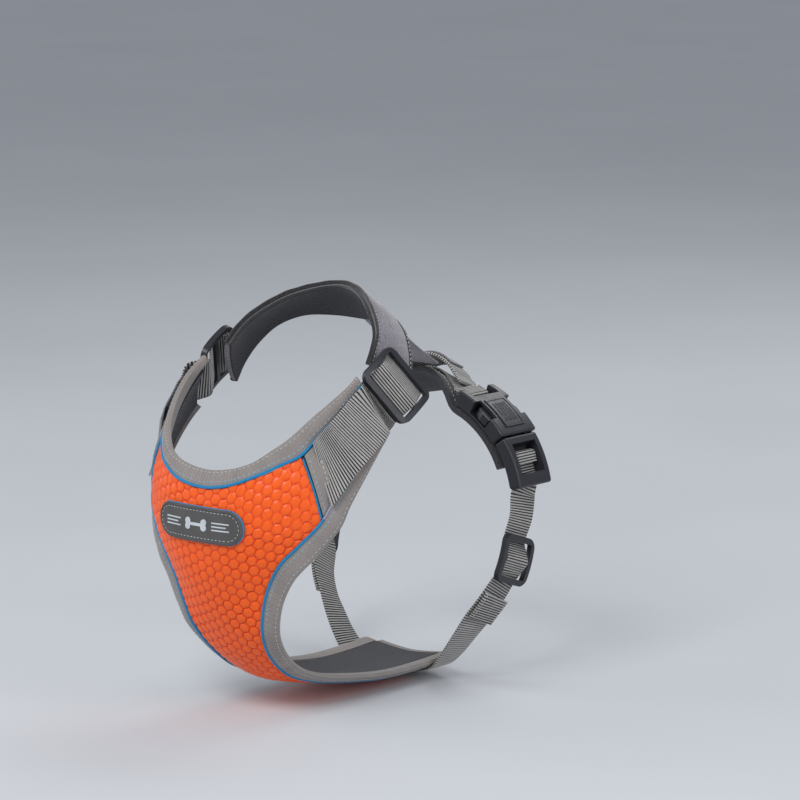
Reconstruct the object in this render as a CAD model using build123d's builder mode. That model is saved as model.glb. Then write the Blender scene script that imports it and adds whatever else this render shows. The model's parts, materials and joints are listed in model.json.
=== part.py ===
from build123d import *
import numpy as np
import os

os.makedirs("parts", exist_ok=True)

# No pull harness. Millimetres. +X is the wearer's left, +Y runs rearward, +Z is up, and the
# origin is the centre of the girth ring. Every soft piece is a thin slab between two curved
# skins that follow the wearer's body; the webbing, buckles and sliders sit on those skins.

BODY_AXIS = np.array([0.0, -70.0, 15.0])      # a point inside the chest, to tell out from in

SHELL = (0.0, -1.8)                           # outer and inner height of each chest layer
FOAM = (-2.0, -4.6)
LINING = (-4.8, -5.5)
WEB = 1.5                                     # webbing thickness
SHOULDER_WEB = 38.0                           # webbing widths
GIRTH_WEB = 25.0
PIPE = 1.0                                    # piping radius
SEAM = 1.7                                    # from a seam line to each fabric edge beside it

# ---- control lines (left half; the right half is the mirror image) ------------------------
CHEST_MID = [(0, -217, 57), (0, -220, 41), (0, -221, 24), (0, -219, 8), (0, -215, -8),
             (0, -209, -23), (0, -202, -38), (0, -193, -54), (0, -181, -71), (0, -159, -89),
             (0, -134, -97), (0, -109, -102), (0, -82, -106), (0, -55, -108), (0, -25, -107.5),
             (0, 8, -106)]
CHEST_SIDE = [(65, -185, 83), (74.8, -184.2, 60.6), (80, -181, 37), (68, -191, 20), (55, -197, 5),
              (44, -197, -14), (37.5, -195, -33), (33, -190, -50), (28.5, -177, -68),
              (27, -157, -84), (28, -132, -93), (30, -106, -98), (30, -80, -102),
              (30, -54, -104.5), (30.5, -25, -104.5), (31, 8, -103)]
ARMHOLE_EDGE = [(88.5, -171, 31), (78, -184, 12), (65.5, -192, -4), (55.5, -193, -20),
                (49, -191, -37), (44.5, -185, -53), (40, -171, -69), (39, -154, -81.5),
                (40, -131, -90), (42, -106, -94.5), (42, -80, -98.5), (42, -54, -100.5),
                (42.5, -25, -100.5), (43, 8, -99)]
NECK_EDGE = [(0, -211, 69), (20, -210.5, 71.5), (37, -207, 77), (49, -199, 86),
             (58, -189, 95), (65.5, -174, 108), (71, -158, 119), (73, -143, 128),
             (72, -130, 136)]
NECK_SEAM = [(0, -217, 57), (23, -215.6, 60.3), (43, -207.7, 68.4), (56, -196.5, 76.3),
             (65, -185, 83), (71, -170.5, 97), (75, -155, 109.5), (76.5, -142, 120),
             (75, -128.5, 130)]
ARM_EDGE = [(88.5, -171, 31), (91, -162, 47), (92.8, -149, 64), (93.2, -134.5, 80),
            (92, -119, 94)]
ARM_SEAM = [(80, -181, 37), (84.5, -168.5, 57), (88, -152.5, 73), (90, -136.5, 86.5),
            (89.8, -120.3, 99)]
YOKE_NECK = [(68, -116, 140), (65.5, -108, 150), (61, -100, 158.5), (52, -92, 167),
             (38, -82, 176), (19, -70, 182.5), (0, -65, 185)]
YOKE_OUTER = [(82, -94, 107), (80.5, -86, 121), (74, -77, 136), (62, -67, 150),
              (44, -56, 158), (23, -44, 158.5), (0, -38, 157)]
SPINE = [(0, -42.9, 166.5), (0, -35.3, 159.3), (0, -25, 150.8), (0, -8, 138), (0, 10, 125.5),
         (0, 28, 114.4)]
BACK_RING = [(0, 45, 103), (15, 44, 99.5), (28, 40, 93.2), (36.9, 36.4, 87.2)]
GIRTH = [(88.3, 33, 24), (89.8, 29, 9), (90.2, 24, -6), (89.8, 19, -21), (86.5, 12.5, -36),
         (80.5, 6, -50), (72, 1, -64), (63, -2, -77.5), (53, -4, -91.5), (43, -4.6, -102.2),
         (32, -5, -106.3), (20, -5, -107.6), (8, -5, -108.3)]

# ---- plastic parts ------------------------------------------------------------------------
BUCKLE_CENTRE = np.array([13.8, 36.0, 16.2])  # axis of the buckle's curve, along Y
BUCKLE_R = 74.7                               # radius of the face that rests on the pad
SLIDER_AT = np.array([83.3, -106.5, 123.2])   # shoulder slider and its directions
SLIDER_ACROSS = np.array([0.40, 0.49, -0.775])
SLIDER_ALONG = np.array([0.0, 0.845, 0.534])
GIRTH_SLIDER_AT = np.array([89.8, 19.0, -21.0])


# ---- curves and grids ---------------------------------------------------------------------
def unit(v):
    v = np.asarray(v, dtype=float)
    return v / np.linalg.norm(v, axis=-1, keepdims=True)


def mirrored(points):
    return np.asarray(points, dtype=float) * np.array([-1.0, 1.0, 1.0])


def both_sides(points):
    """A left half line from the mid point outwards, joined to its mirror image."""
    half = np.asarray(points, dtype=float)
    return np.concatenate([mirrored(half[:0:-1]), half])


def through(points, at):
    """Smooth curve through the control points, at the given positions along their index."""
    pts = np.asarray(points, dtype=float)
    at = np.asarray(at, dtype=float)
    slope = np.gradient(pts, axis=0)
    k = np.clip(at.astype(int), 0, len(pts) - 2)
    u = (at - k)[:, None]
    a, b, ma, mb = pts[k], pts[k + 1], slope[k], slope[k + 1]
    h1 = 2 * u**3 - 3 * u**2 + 1
    h2 = u**3 - 2 * u**2 + u
    return h1 * a + h2 * ma + (1 - h1) * b + (u**3 - u**2) * mb


def steps(points, spacing, start=0.0, end=0.0):
    """Index positions about `spacing` apart, leaving out `start` and `end` mm of the line."""
    fine = np.linspace(0, len(points) - 1, 40 * (len(points) - 1) + 1)
    line = through(points, fine)
    run = np.concatenate([[0], np.cumsum(np.linalg.norm(np.diff(line, axis=0), axis=1))])
    count = max(4, int(round((run[-1] - start - end) / spacing)) + 1)
    return np.interp(np.linspace(start, run[-1] - end, count), run, fine)


def across(left, right, columns, bulge=0.0, trim=(0.0, 0.0)):
    """A grid of rows between two edge lines, trimmed by mm at each edge and bulged outward."""
    span = right - left
    wide = np.linalg.norm(span, axis=1)[:, None]
    left, right = left + span * trim[0] / wide, right - span * trim[1] / wide
    s = np.linspace(0, 1, columns)[None, :, None]
    grid = left[:, None, :] * (1 - s) + right[:, None, :] * s
    return grid + out(grid) * bulge * 4 * s * (1 - s)


def out(grid):
    """Unit normals of a grid, pointing away from the wearer's body."""
    n = unit(np.cross(np.gradient(grid, axis=0), np.gradient(grid, axis=1)))
    middle = (grid.shape[0] // 2, grid.shape[1] // 2)
    return n if np.dot(n[middle], grid[middle] - BODY_AXIS) > 0 else -n


# ---- solids -------------------------------------------------------------------------------
def skin(grid):
    return Face.make_surface_from_array_of_points(
        [[tuple(p) for p in row] for row in grid], tol=0.06)


def slab(upper, lower):
    """A closed solid between two grids of the same shape."""
    top, base = skin(upper), skin(lower)
    sides = []
    for edge in top.edges():
        twin = min(base.edges(), key=lambda e: (e @ 0.5 - edge @ 0.5).length)
        sides.append(Face.make_surface_from_curves(edge, twin))
    return Solid(Shell([top, base] + sides))


def layer(grid, heights):
    n = out(grid)
    return slab(grid + heights[0] * n, grid + heights[1] * n)


def ribbon(centre, sideways, width, thick, bulge=0.0, columns=5):
    """A strap: a row of stations, each a centre point and a sideways direction."""
    centre = np.asarray(centre, dtype=float)
    side = unit(np.broadcast_to(sideways, centre.shape))
    up = unit(np.cross(np.gradient(centre, axis=0), side))
    side = unit(np.cross(up, np.gradient(centre, axis=0)))
    s = np.linspace(-1, 1, columns)[None, :, None]
    drop = np.broadcast_to(np.asarray(bulge, dtype=float).reshape(-1, 1, 1), (len(centre), 1, 1))
    grid = centre[:, None, :] + side[:, None, :] * s * width / 2 - up[:, None, :] * drop * s**2
    return slab(grid + up[:, None, :] * thick / 2, grid - up[:, None, :] * thick / 2)


def save(name, solid):
    with BuildPart() as body:
        add(solid)
    body.part.label = name
    export_step(body.part, "parts/" + name + ".step")


def both(name, solid):
    """Save a left-hand solid and its mirror image."""
    save(name + "_l", solid)
    save(name + "_r", mirror(solid, about=Plane.YZ))


# ---- chest panel --------------------------------------------------------------------------
def chest_grid(rows, columns, edge=0.0, top=0.0):
    """The front panel: mid line, side lines and the shape between them."""
    at = np.linspace(top / 17.0, len(CHEST_MID) - 1, rows)
    mid, side = through(CHEST_MID, at), through(CHEST_SIDE, at)
    lean = unit(np.gradient(side, axis=0))[:, :1]
    inset = edge / np.sqrt(1 - lean**2) * (1 + 0.8 * np.exp(-((at[:, None] - 2.4) / 0.6) ** 2))
    s = np.linspace(-1, 1, columns)[None, :] * (1 - inset / side[:, :1])
    depth = np.interp(at, [0, 3], [3.0, 2.4])[:, None]
    rise = np.interp(at, [0, 3], [2.0, 1.6])[:, None]
    grid = np.empty((rows, columns, 3))
    grid[:, :, 0] = side[:, :1] * s
    grid[:, :, 1] = mid[:, 1:2] + (side[:, 1:2] - mid[:, 1:2]) * np.abs(s) ** depth
    grid[:, :, 2] = mid[:, 2:3] + (side[:, 2:3] - mid[:, 2:3]) * np.abs(s) ** rise
    return grid


chest = chest_grid(61, 17, edge=SEAM, top=SEAM)
save("chest_shell", layer(chest, SHELL))
save("chest_foam", layer(chest, FOAM))
save("chest_lining", layer(chest, LINING))


# ---- bindings -----------------------------------------------------------------------------
def binding(seam, edge, trim=(SEAM, 0.0)):
    """Folded tape over a panel edge: full height at the seam, rounded off at the outside."""
    grid = across(seam, edge, 7, bulge=0.4, trim=trim)
    n = out(grid)
    s = np.linspace(0, 1, 7)[None, :, None]
    return slab(grid + n * (0.5 - 1.1 * s**4), grid - n * (5.4 - 2.1 * s**3))


neck_at = steps(both_sides(NECK_EDGE), 6.0, 8.0, 8.0)
save("neck_binding", binding(through(both_sides(NECK_SEAM), neck_at),
                             through(both_sides(NECK_EDGE), neck_at)))

armhole_seam = CHEST_SIDE[:1:-1] + ARM_SEAM[1:]
armhole_edge = ARMHOLE_EDGE[::-1] + ARM_EDGE[1:]
armhole_at = steps(armhole_edge, 5.0, 0.0, 8.0)
both("armhole_binding", binding(through(armhole_seam, armhole_at),
                                through(armhole_edge, armhole_at)))


# ---- piping -------------------------------------------------------------------------------
def piping(seam, beside):
    """A rounded bead along a seam line; `beside` only gives the direction across it."""
    side = unit(np.asarray(beside, dtype=float) - seam)
    grid = across(seam - side * PIPE, seam + side * PIPE, 5)
    n = out(grid)
    s = np.linspace(-1, 1, 5)[None, :, None]
    return slab(grid + n * (0.2 + 1.1 * (1 - s**2)), grid - n * 0.8)


pipe_at = steps(both_sides(NECK_SEAM), 5.0, 8.0, 8.0)
save("neck_piping", piping(through(both_sides(NECK_SEAM), pipe_at),
                           through(both_sides(NECK_EDGE), pipe_at)))
pipe_at = steps(armhole_seam, 5.0, 2.0, 8.0)
both("armhole_piping", piping(through(armhole_seam, pipe_at), through(armhole_edge, pipe_at)))
cross_line = through(CHEST_SIDE[:3], np.linspace(0.16, 1.84, 9))
both("cross_piping", piping(cross_line, cross_line + np.array([0.5, 5.0, 9.0])))


# ---- shoulder arms ------------------------------------------------------------------------
ARM_BULGE = 2.6


def arm_grid(columns, start=SEAM, end=0.0, trim=(SEAM, SEAM)):
    at = np.linspace(start / 19.0, 4 - end / 19.0, 25)
    return across(through(NECK_SEAM[4:], at), through(ARM_SEAM, at), columns,
                  bulge=ARM_BULGE, trim=trim)


arm = arm_grid(9, end=11.0)
both("arm_panel", layer(arm, (0.0, -2.4)))
both("arm_lining", layer(arm, (-2.55, -5.2)))

# ---- shoulder webbing, tape and slider ----------------------------------------------------
SLIDER_UP = unit(np.cross(SLIDER_ACROSS, SLIDER_ALONG))
SLIDER_UP = SLIDER_UP if SLIDER_UP[0] > 0 else -SLIDER_UP
SLIDER_R = 90.0                               # sliders are arched along the webbing


def on_slider(at, along, up, l, h):
    return at + along * l + up * h


tape = arm_grid(7, start=SEAM + 0.3, trim=(SEAM + 1.6, SEAM + 1.6))
tape_rows = np.linspace(0, 1, 8)[:, None, None]
tape_grid = tape[0][None] * (1 - tape_rows) + tape[4][None] * tape_rows
both("cross_tape", layer(tape_grid, (2.2, 1.0)))

arm_lift = np.interp(np.arange(25), [7, 13, 19, 24], [0.35, 0.7, 1.4, 2.0])[:, None]
arm_mid = arm[:, 4] + out(arm)[:, 4] * (arm_lift + WEB / 2)
arm_side = unit(arm[:, 8] - arm[:, 0])
web_points = [arm_mid[k] for k in (7, 13, 19, 24)]
web_points += [on_slider(SLIDER_AT, SLIDER_ALONG, SLIDER_UP, l, h)
               for l, h in ((-19.5, -2.6), (-14.5, -2.5), (-7.5, 1.3), (0, 4.7), (7.5, 1.3), (15.5, -2.4))]
web_side = [arm_side[k] for k in (7, 13, 19, 24)] + [SLIDER_ACROSS] * 6
web_at = steps(web_points, 2.2)
web_bulge = np.interp(web_at, [0, 1.5, 3.2], [1.7, 1.0, 0.0])
both("shoulder_webbing", ribbon(through(web_points, web_at), through(web_side, web_at),
                                SHOULDER_WEB, WEB, bulge=web_bulge))


def arched_slider(at, along, up, slot, length):
    """Three-bar slider: an arched frame with two webbing slots either side of a low bar."""
    sideways = np.cross(up, along)
    base = Plane(origin=tuple(at + up * 0.9), x_dir=tuple(along), z_dir=tuple(-sideways))
    wide = slot + 7.5
    with BuildPart() as made:
        with BuildSketch(base.offset(-wide / 2 - 3)):
            with Locations((0, -SLIDER_R)):
                Circle(SLIDER_R + 4.2)
                Circle(SLIDER_R, mode=Mode.SUBTRACT)
            with Locations((0, 0)):
                Rectangle(length + 8, 16, mode=Mode.INTERSECT)
        extrude(amount=wide + 6)
        flat = Plane(origin=tuple(at), x_dir=tuple(along), z_dir=tuple(up))
        with BuildSketch(flat.offset(-6)):
            RectangleRounded(length, wide, 7)
        extrude(amount=16, mode=Mode.INTERSECT)
        hole = (length - 9.0 - 3.6) / 2
        with BuildSketch(flat.offset(-6)):
            with Locations((hole / 2 + 1.8, 0), (-hole / 2 - 1.8, 0)):
                RectangleRounded(hole, slot, 0.8)
        extrude(amount=16, mode=Mode.SUBTRACT)
        with BuildSketch(flat.offset(3.4)):
            Rectangle(6.0, slot - 2.0)
        extrude(amount=6, mode=Mode.SUBTRACT)
    return made.part.solids()[0]


both("shoulder_slider", arched_slider(SLIDER_AT, SLIDER_ALONG, SLIDER_UP, 40.6, 36.0))


# ---- yoke round the back of the neck ------------------------------------------------------
yoke_at = steps(both_sides(YOKE_NECK[::-1]), 6.0)
yoke_neck = through(both_sides(YOKE_NECK[::-1]), yoke_at)
yoke_outer = through(both_sides(YOKE_OUTER[::-1]), yoke_at)
save("yoke_pad", layer(across(yoke_neck, yoke_outer, 9, bulge=1.5, trim=(2.4, 2.4)), (0, -3.0)))
save("yoke_lining", layer(across(yoke_neck, yoke_outer, 9, bulge=1.5, trim=(2.4, 2.4)),
                          (-3.2, -4.6)))


def edge_tape(line, away):
    """A narrow folded tape closing a padded edge."""
    inner = np.asarray(away)
    return slab(across(line, inner, 5, bulge=0.3) + out(across(line, inner, 5)) * 0.4,
                across(line, inner, 5) - out(across(line, inner, 5)) * 4.9)


def toward(line, other, distance):
    span = other - line
    return line + span / np.linalg.norm(span, axis=1)[:, None] * distance


save("yoke_tape_neck", edge_tape(yoke_neck, toward(yoke_neck, yoke_outer, 2.0)))
save("yoke_tape_outer", edge_tape(toward(yoke_outer, yoke_neck, 2.0), yoke_outer))

spine_at = steps(SPINE, 4.0)
save("spine_webbing", ribbon(through(SPINE, spine_at), (1, 0, 0), GIRTH_WEB, WEB + 0.5))


# ---- back band: pad, webbing, handle, ring ------------------------------------------------
def on_arc(degrees, height):
    """Points on the buckle's curve: angle up from the horizontal, height above its base."""
    t = np.radians(np.asarray(degrees, dtype=float))
    r = BUCKLE_R + height
    return np.stack([BUCKLE_CENTRE[0] + r * np.cos(t), np.full(t.shape, BUCKLE_CENTRE[1]),
                     BUCKLE_CENTRE[2] + r * np.sin(t)], axis=-1)


ring_half = np.concatenate([np.array(BACK_RING, dtype=float), on_arc([64, 56, 48, 40, 32, 24], 0)])
ring_lean = [(0, 0.88, -0.475), (0, 0.91, -0.415), (0, 0.975, -0.22), (0, 1, -0.03)]
ring_lean += [(0, 1, 0)] * 6
ring = both_sides(ring_half)
lean = np.concatenate([np.array(ring_lean, dtype=float)[:0:-1], np.array(ring_lean, dtype=float)])
pad_at = steps(ring, 5.0)
pad_mid, pad_side = through(ring, pad_at), unit(through(lean, pad_at))
pad = across(pad_mid - pad_side * 20, pad_mid + pad_side * 20, 9)
save("back_pad", layer(pad, (-0.4, -3.4)))
save("back_pad_lining", layer(pad, (-3.6, -5.0)))

lift = out(pad)[:, 4]
mid_row = np.abs(pad_mid[:, 0]) < 34.0
web_mid = (pad_mid + lift * (0.7 + WEB / 2))[mid_row]
bar = on_arc([70.6], 5.2)[0]                 # the female part's webbing bar
loop_up = unit(on_arc([70.6], 1)[0] - on_arc([70.6], 0)[0])
loop_out = unit(np.cross((0, 1, 0), loop_up))
turn = [bar + 3.3 * (loop_up * np.sin(a) + loop_out * np.cos(a))
        for a in np.radians([-75, -25, 25, 75, 120])]
top_end = turn[-1] - loop_out * 9 - loop_up * 0.6
web_path = np.concatenate([mirrored(np.array(turn + [top_end]))[::-1], web_mid,
                           np.array(turn + [top_end])])
web_lean = np.concatenate([[(0, 1, 0)] * 6, pad_side[mid_row], [(0, 1, 0)] * 6])
back_at = steps(web_path, 1.6)
save("back_webbing", ribbon(through(web_path, back_at), through(web_lean, back_at),
                            GIRTH_WEB, WEB))

HANDLE = [(29.5, 41.5, 98.6), (24.5, 42.5, 102.6), (18, 43.4, 108.4), (9, 44, 113.0),
          (0, 44.2, 114.6)]
handle_path = both_sides(HANDLE[::-1])
handle_at = steps(handle_path, 3.0)
save("handle_webbing", ribbon(through(handle_path, handle_at), (0, 0.9, -0.436), GIRTH_WEB, 2.4))
grip_at = steps(handle_path, 3.0, 17.0, 17.0)
grip_mid = through(handle_path, grip_at) + np.array([0, 0.1, 0.2]) * 11.5
save("handle_grip", ribbon(grip_mid, (0, 0.9, -0.436), 19.0, 1.4))

RING_AT = np.array([0.0, 69.0, 92.4])
RING_DIR = unit((0, 0.88, -0.475))
RING_UP = unit((0, 0.475, 0.88))
with BuildPart() as ring_made:
    ring_plane = Plane(origin=tuple(RING_AT), x_dir=(1, 0, 0), z_dir=tuple(RING_UP))
    with BuildLine(ring_plane):
        Line((-15, 0), (15, 0))
    with BuildSketch(Plane(origin=tuple(RING_AT - np.array([15, 0, 0])), z_dir=(1, 0, 0))):
        Circle(1.9)
    extrude(amount=30)
    with BuildLine(ring_plane) as ring_bow:
        Polyline((15, 0), (15, 7))
        ThreePointArc((15, 7), (0, 22), (-15, 7))
        Polyline((-15, 7), (-15, 0))
    bow_start = Plane(origin=tuple(RING_AT + np.array([15, 0, 0])), z_dir=tuple(RING_DIR))
    with BuildSketch(bow_start):
        Circle(1.9)
    sweep(path=ring_bow.wire())
    with Locations(tuple(RING_AT + np.array([15, 0, 0])), tuple(RING_AT - np.array([15, 0, 0]))):
        Sphere(1.9)
save("d_ring", ring_made.part.solids()[0])

keeper_turn = [RING_AT + 2.95 * (RING_UP * np.sin(a) + RING_DIR * np.cos(a))
               for a in np.radians([95, 50, 0, -50, -95])]
keeper_front = [RING_AT - RING_DIR * d + RING_UP * h for d, h in ((12.5, -1.5), (9, -1.2), (5, 0.6))]
keeper_back = [RING_AT - RING_DIR * 5 - RING_UP * 2.8]
keeper_path = keeper_front + keeper_turn + keeper_back
save("ring_keeper", ribbon(through(keeper_path, steps(keeper_path, 1.3)), (1, 0, 0), 22.0, 1.3))


# ---- side release buckles -----------------------------------------------------------------
def sector(deg0, deg1, wide, height):
    """A block on the buckle's curve: an angle range, a range across and a height range."""
    plane = Plane(origin=(BUCKLE_CENTRE[0], BUCKLE_CENTRE[1] + wide[0], BUCKLE_CENTRE[2]),
                  x_dir=(1, 0, 0), z_dir=(0, 1, 0))
    corners = []
    for radius, order in ((BUCKLE_R + height[0], (deg0, deg1)),
                          (BUCKLE_R + height[1], (deg1, deg0))):
        half = (deg0 + deg1) / 2
        corners.append([(radius * np.cos(np.radians(a)), -radius * np.sin(np.radians(a)))
                        for a in (order[0], half, order[1])])
    with BuildPart() as block:
        with BuildSketch(plane):
            with BuildLine():
                ThreePointArc(*corners[0])
                Line(corners[0][2], corners[1][0])
                ThreePointArc(*corners[1])
                Line(corners[1][2], corners[0][0])
            make_face()
        extrude(amount=wide[1] - wide[0])
    return block.part.solids()[0]


def softened(solid, radius):
    try:
        return solid.fillet(radius, [e for e in solid.edges() if e.length > 9.0])
    except ValueError:
        return solid


def one(shape):
    return max(shape.solids(), key=lambda s: s.volume)


FEMALE = (38.0, 71.7)
MALE = (11.0, 37.4)
female = softened(sector(*FEMALE, (-20, 20), (0.6, 12.8)), 1.6)
female -= sector(37, 61.5, (-17.4, 17.4), (3.0, 10.4))
for low, high, floor, roof in ((64.0, 69.5, 0, 14), (69.0, 73.0, 0, 3.7), (69.0, 73.0, 6.7, 14)):
    female -= sector(low, high, (-14.2, 14.2), (floor, roof))
for low, high in ((-21, -13.4), (13.4, 21)):
    female -= sector(48.0, 60.5, (low, high), (2.6, 14))
both("buckle_female", one(female))

plate = one(sector(42.0, 60.0, (-10.5, 10.5), (12.95, 13.6)) -
            sector(43.2, 58.8, (-9.4, 9.4), (13.2, 14)))
both("buckle_plate", plate)

male = softened(sector(*MALE, (-19, 19), (0.9, 11.6)), 2.0)
male -= sector(17.5, 33.2, (-13.2, 13.2), (-1, 14))
male -= sector(10.0, 18.0, (-13.9, 13.9), (-1, 5.6))
male -= sector(33.0, 38.0, (-15.0, 15.0), (-1, 2.8))
male += sector(26.4, 28.6, (-13.6, 13.6), (3.7, 6.1))
male += sector(37.0, 46.0, (-6.0, 6.0), (4.4, 8.8))
both("buckle_male", one(male))

PRONG = [(38.0, 9.4, 13.2), (47.0, 10.0, 13.4), (49.0, 10.2, 19.2), (53.5, 10.8, 19.6),
         (58.0, 12.4, 17.0)]
prong_low = np.array([[on_arc([d], 3.7)[0] + np.array([0, w, 0]) for w in np.linspace(a, b, 4)]
                      for d, a, b in PRONG])
prong_top = np.array([[on_arc([d], 9.7)[0] + np.array([0, w, 0]) for w in np.linspace(a, b, 4)]
                      for d, a, b in PRONG])


def prong():
    with BuildPart() as made:
        sections = []
        for low, top in zip(prong_low, prong_top):
            ring_points = [low[0], low[-1], top[-1], top[0]]
            sections.append(Face(Wire.make_polygon([tuple(p) for p in ring_points])))
        loft(sections=sections, ruled=True)
    return made.part.solids()[0]


rear_prong = prong()
front_prong = mirror(rear_prong, about=Plane(origin=tuple(BUCKLE_CENTRE), z_dir=(0, 1, 0)))
both("prong_rear", rear_prong)
both("prong_front", front_prong)


# ---- girth straps -------------------------------------------------------------------------
GIRTH_ALONG = unit((-0.05, -0.34, -1.0))
GIRTH_UP = unit((1.0, 0.0, -0.05))
girth_bar = on_arc([27.5], 4.9)[0]
bar_up = unit(on_arc([27.5], 1)[0] - on_arc([27.5], 0)[0])
bar_on = unit(np.cross(bar_up, (0, 1, 0)))
bar_on = bar_on if bar_on[2] > 0 else -bar_on
girth_turn = [girth_bar + 2.9 * (bar_up * np.sin(a) + bar_on * np.cos(a))
              for a in np.radians([-70, -20, 30, 80, 115])]
girth_tail_end = [girth_bar + bar_up * 1.5 - bar_on * 6.5]
girth_line = np.array(GIRTH, dtype=float)
slider_part = [on_slider(GIRTH_SLIDER_AT, GIRTH_ALONG, GIRTH_UP, l, h)
               for l, h in ((-15, -2.5), (-7.5, 1.3), (0, 4.8), (7.5, 1.3), (15, -2.5))]
girth_path = girth_tail_end + girth_turn[::-1] + [on_arc([19], 2.1)[0], on_arc([12], 1.5)[0]]
girth_path += [girth_line[0], girth_line[1]] + slider_part + list(girth_line[5:])
girth_at = steps(girth_path, 2.0)
girth_side = np.array([(0, 1, 0)] * 8 + [(0.1, 0.97, -0.15), (0.05, 0.95, -0.28)] +
                      [(0, 0.947, -0.322)] * 5 + [(0.1, 0.96, -0.27), (0.2, 0.96, -0.2)] +
                      [(0.15, 0.98, -0.1), (0.1, 0.99, -0.03)] + [(0, 1, 0)] * 4)
both("girth_strap", ribbon(through(girth_path, girth_at), through(girth_side, girth_at),
                           GIRTH_WEB, WEB))
both("girth_slider", arched_slider(GIRTH_SLIDER_AT, GIRTH_ALONG, GIRTH_UP, 27.6, 36.0))

tail_path = [girth_line[k] + unit(girth_line[k] * np.array([1, 0, 1])) * h
             for k, h in ((4, 2.9), (5, 3.1), (6, 3.0))]
tail_at = np.linspace(0.75, 2.0, 9)
both("girth_tail", ribbon(through(tail_path, tail_at), (0.15, 0.96, -0.22), GIRTH_WEB, 2.6))

rear = chest[-1]
rear_row = np.linspace(0.6, 5.0, 3)[:, None, None]
rear_grid = rear[None] + np.array([0, 1, 0.06]) * rear_row
save("chest_rear_tape", slab(rear_grid + np.array([0, 0, -0.3]), rear_grid + np.array([0, 0, 5.2])))


# ---- chest label --------------------------------------------------------------------------
fine = chest_grid(121, 161)[:60, 80:]


def chest_at(x, z):
    """The point of the chest's outer skin at a given X and Z."""
    rows = [(np.interp(abs(x), row[:, 0], row[:, 1]), np.interp(abs(x), row[:, 0], row[:, 2]))
            for row in fine]
    y, height = np.array(rows[::-1]).T
    return np.array([x, np.interp(z, height, y), z])


def label_grid(half_long, half_high, columns=21, rows=7):
    grid = np.zeros((rows, columns, 3))
    for j, x in enumerate(np.linspace(-half_long, half_long, columns)):
        past = max(0.0, abs(x) - (half_long - half_high))
        reach = max(np.sqrt(max(half_high**2 - past**2, 0.0)), half_high * 0.3)
        for i, v in enumerate(np.linspace(-1, 1, rows)):
            grid[i, j] = chest_at(x, 31.5 + v * reach)
    return grid


save("chest_label", layer(label_grid(39.0, 12.5), (2.2, 0.35)))
with BuildPart() as bone:
    face_plane = Plane(origin=(0, -223.6, 31.5), x_dir=(1, 0, 0), z_dir=(0, -1, 0))
    with BuildSketch(face_plane):
        Rectangle(14, 3.4)
        with Locations((-7.4, 1.8), (-7.4, -1.8), (7.4, 1.8), (7.4, -1.8)):
            Circle(2.5)
    extrude(amount=0.9)
save("label_emblem", bone.part.solids()[0])
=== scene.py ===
import json
import bpy
import numpy as np
from mathutils import Matrix, Vector

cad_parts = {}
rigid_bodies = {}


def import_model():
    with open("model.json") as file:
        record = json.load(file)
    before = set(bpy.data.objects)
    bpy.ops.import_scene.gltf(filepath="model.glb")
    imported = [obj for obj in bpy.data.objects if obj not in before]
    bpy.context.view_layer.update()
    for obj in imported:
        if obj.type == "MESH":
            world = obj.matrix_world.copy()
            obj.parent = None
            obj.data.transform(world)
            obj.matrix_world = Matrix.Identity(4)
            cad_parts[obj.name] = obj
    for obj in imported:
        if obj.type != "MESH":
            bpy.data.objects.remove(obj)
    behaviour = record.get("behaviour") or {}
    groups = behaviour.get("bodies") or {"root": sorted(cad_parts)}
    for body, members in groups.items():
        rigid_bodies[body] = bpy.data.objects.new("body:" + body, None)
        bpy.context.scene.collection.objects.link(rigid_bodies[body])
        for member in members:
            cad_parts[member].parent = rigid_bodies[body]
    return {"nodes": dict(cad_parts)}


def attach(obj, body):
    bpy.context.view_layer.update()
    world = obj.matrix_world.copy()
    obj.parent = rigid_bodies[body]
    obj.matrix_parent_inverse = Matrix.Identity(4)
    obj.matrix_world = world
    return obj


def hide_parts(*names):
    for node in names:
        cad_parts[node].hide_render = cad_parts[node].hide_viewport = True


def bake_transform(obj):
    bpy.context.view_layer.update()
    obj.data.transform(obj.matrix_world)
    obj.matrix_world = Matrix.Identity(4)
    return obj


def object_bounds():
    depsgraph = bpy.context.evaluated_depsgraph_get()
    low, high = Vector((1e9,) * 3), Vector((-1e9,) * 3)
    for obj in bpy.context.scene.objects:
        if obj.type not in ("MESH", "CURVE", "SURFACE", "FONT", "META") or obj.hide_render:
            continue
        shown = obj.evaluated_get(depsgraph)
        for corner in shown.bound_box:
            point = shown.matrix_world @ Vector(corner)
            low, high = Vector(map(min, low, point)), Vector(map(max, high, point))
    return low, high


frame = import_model()
cad_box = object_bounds()

# ---- driving sizes: everything is drawn in mm, and made in metres ----
MM = 0.001
BODY_AXIS = np.array([0.0, -70.0, 15.0])        # a point inside the wearer's chest
SEAM = 1.0                      # seam allowance beside a binding
PIPE = 1.15                     # radius of the piping
WEB = 1.5                       # thickness of the webbing
SHOULDER_WIDE, GIRTH_WIDE = 38.0, 25.0          # widths of the two webbings
RIB = 1.95                      # pitch of the webbing's ribs
TAPE_RIB = 1.5                  # pitch of the ribs in the grey tape
HEX = 8.0                       # pitch of the honeycomb
LABEL_Z = 31.5                  # height of the label's middle

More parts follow.
